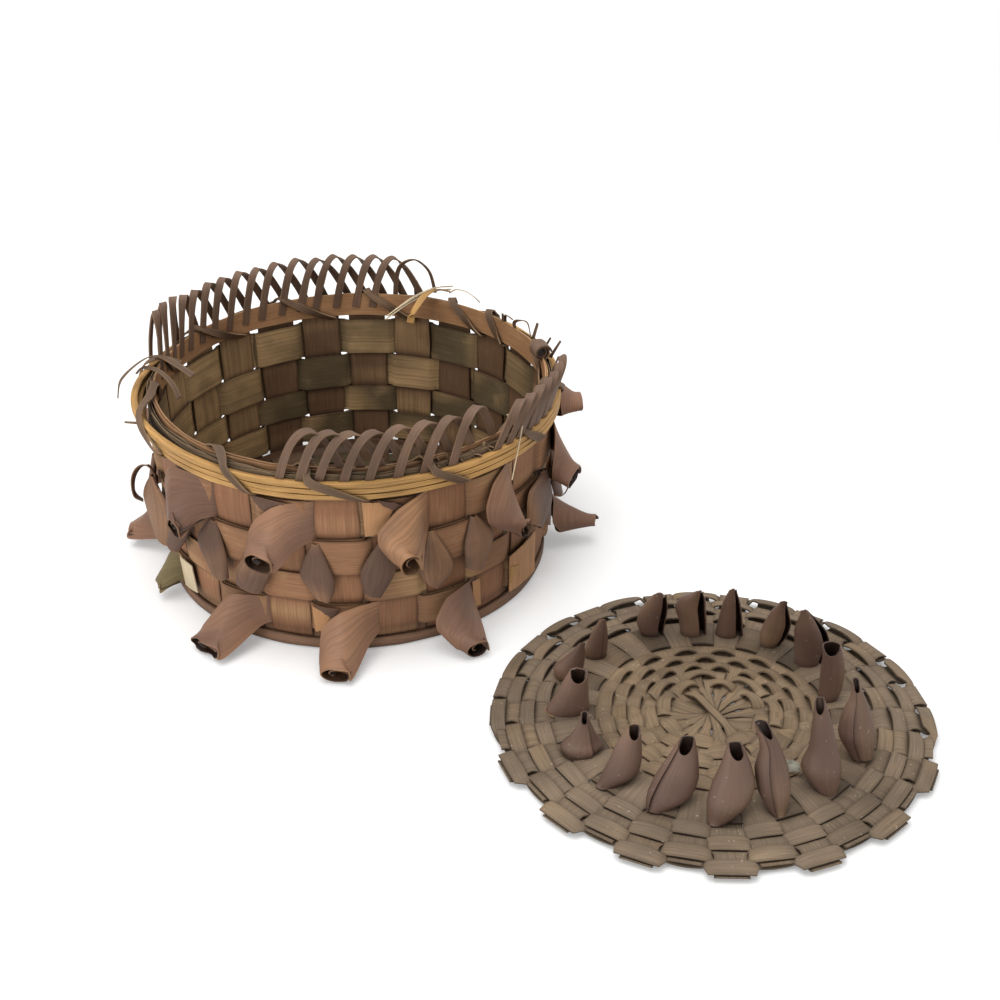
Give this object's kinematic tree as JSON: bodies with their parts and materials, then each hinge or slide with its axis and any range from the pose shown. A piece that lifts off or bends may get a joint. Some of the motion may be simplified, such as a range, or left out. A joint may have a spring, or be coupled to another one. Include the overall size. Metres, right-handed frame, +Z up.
{
  "type": "lidded splint basket",
  "caption": "Round plaited splint basket with curled points on its wall, a hooped rim with looped edging, and a loose woven lid with curled points lying beside it.",
  "frame": {"origin": "centre of the underside of the basket's lowest base splint, on the ground", "axes": "+Z up along the basket's axis; the loose lid lies on the ground towards +X and -Y"},
  "size_m": [0.4311, 0.4148, 0.1334],
  "materials": {
    "upright_splint": "bare aged splint, dull",
    "base_weaver": "bare aged splint, dull",
    "wall_weaver": "bare aged splint, dull, with pale worn patches",
    "curled_splint": "purple brown dyed splint, worn paler at its edges",
    "leaf_splint": "purple brown dyed splint, worn paler at its edges",
    "rim_hoop": "bare aged wood, dull",
    "rim_strip": "golden straw-coloured bare wood, dull",
    "lashing_splint": "bare aged splint, dull",
    "loop_splint": "bare aged splint, dull",
    "lid_splint": "grey brown aged splint, dull",
    "lid_curl_splint": "reddish brown dyed splint, dull"
  },
  "bodies": {
    "basket": {"basket_splint_1": "upright_splint", "basket_splint_2": "upright_splint", "basket_splint_3": "upright_splint", "basket_splint_4": "upright_splint", "basket_splint_5": "upright_splint", "basket_splint_6": "upright_splint", "base_weaver_1": "base_weaver", "base_weaver_2": "base_weaver", "wall_weaver_1": "wall_weaver", "wall_weaver_2": "wall_weaver", "wall_weaver_3": "wall_weaver", "wall_weaver_4": "wall_weaver", "curl_band_lower": "curled_splint", "curl_band_upper": "curled_splint", "leaf_band": "leaf_splint", "foot_hoop": "rim_hoop", "inner_rim_hoop": "rim_hoop", "rim_filler": "rim_hoop", "outer_rim_strip_1": "rim_strip", "outer_rim_strip_2": "rim_strip", "outer_rim_strip_3": "rim_strip", "rim_lashing": "lashing_splint", "loop_edging_front": "loop_splint", "loop_edging_right": "loop_splint", "loop_edging_back": "loop_splint"},
    "lid": {"lid_splint_1": "lid_splint", "lid_splint_2": "lid_splint", "lid_splint_3": "lid_splint", "lid_splint_4": "lid_splint", "lid_splint_5": "lid_splint", "lid_splint_6": "lid_splint", "lid_splint_7": "lid_splint", "lid_splint_8": "lid_splint", "lid_weaver_1": "lid_splint", "lid_weaver_2": "lid_splint", "lid_weaver_3": "lid_splint", "lid_weaver_4": "lid_splint", "lid_weaver_5": "lid_splint", "lid_edge_weaver_1": "lid_splint", "lid_edge_weaver_2": "lid_splint", "lid_edge_weaver_3": "lid_splint", "lid_edge_weaver_4": "lid_splint", "lid_curl_band": "lid_curl_splint"}
  },
  "joints": [
    {"name": "lid_lift", "type": "slide", "parent": "basket", "child": "lid", "axis": [0, 0, 1], "range_m": [0, 0.18]}
  ]
}
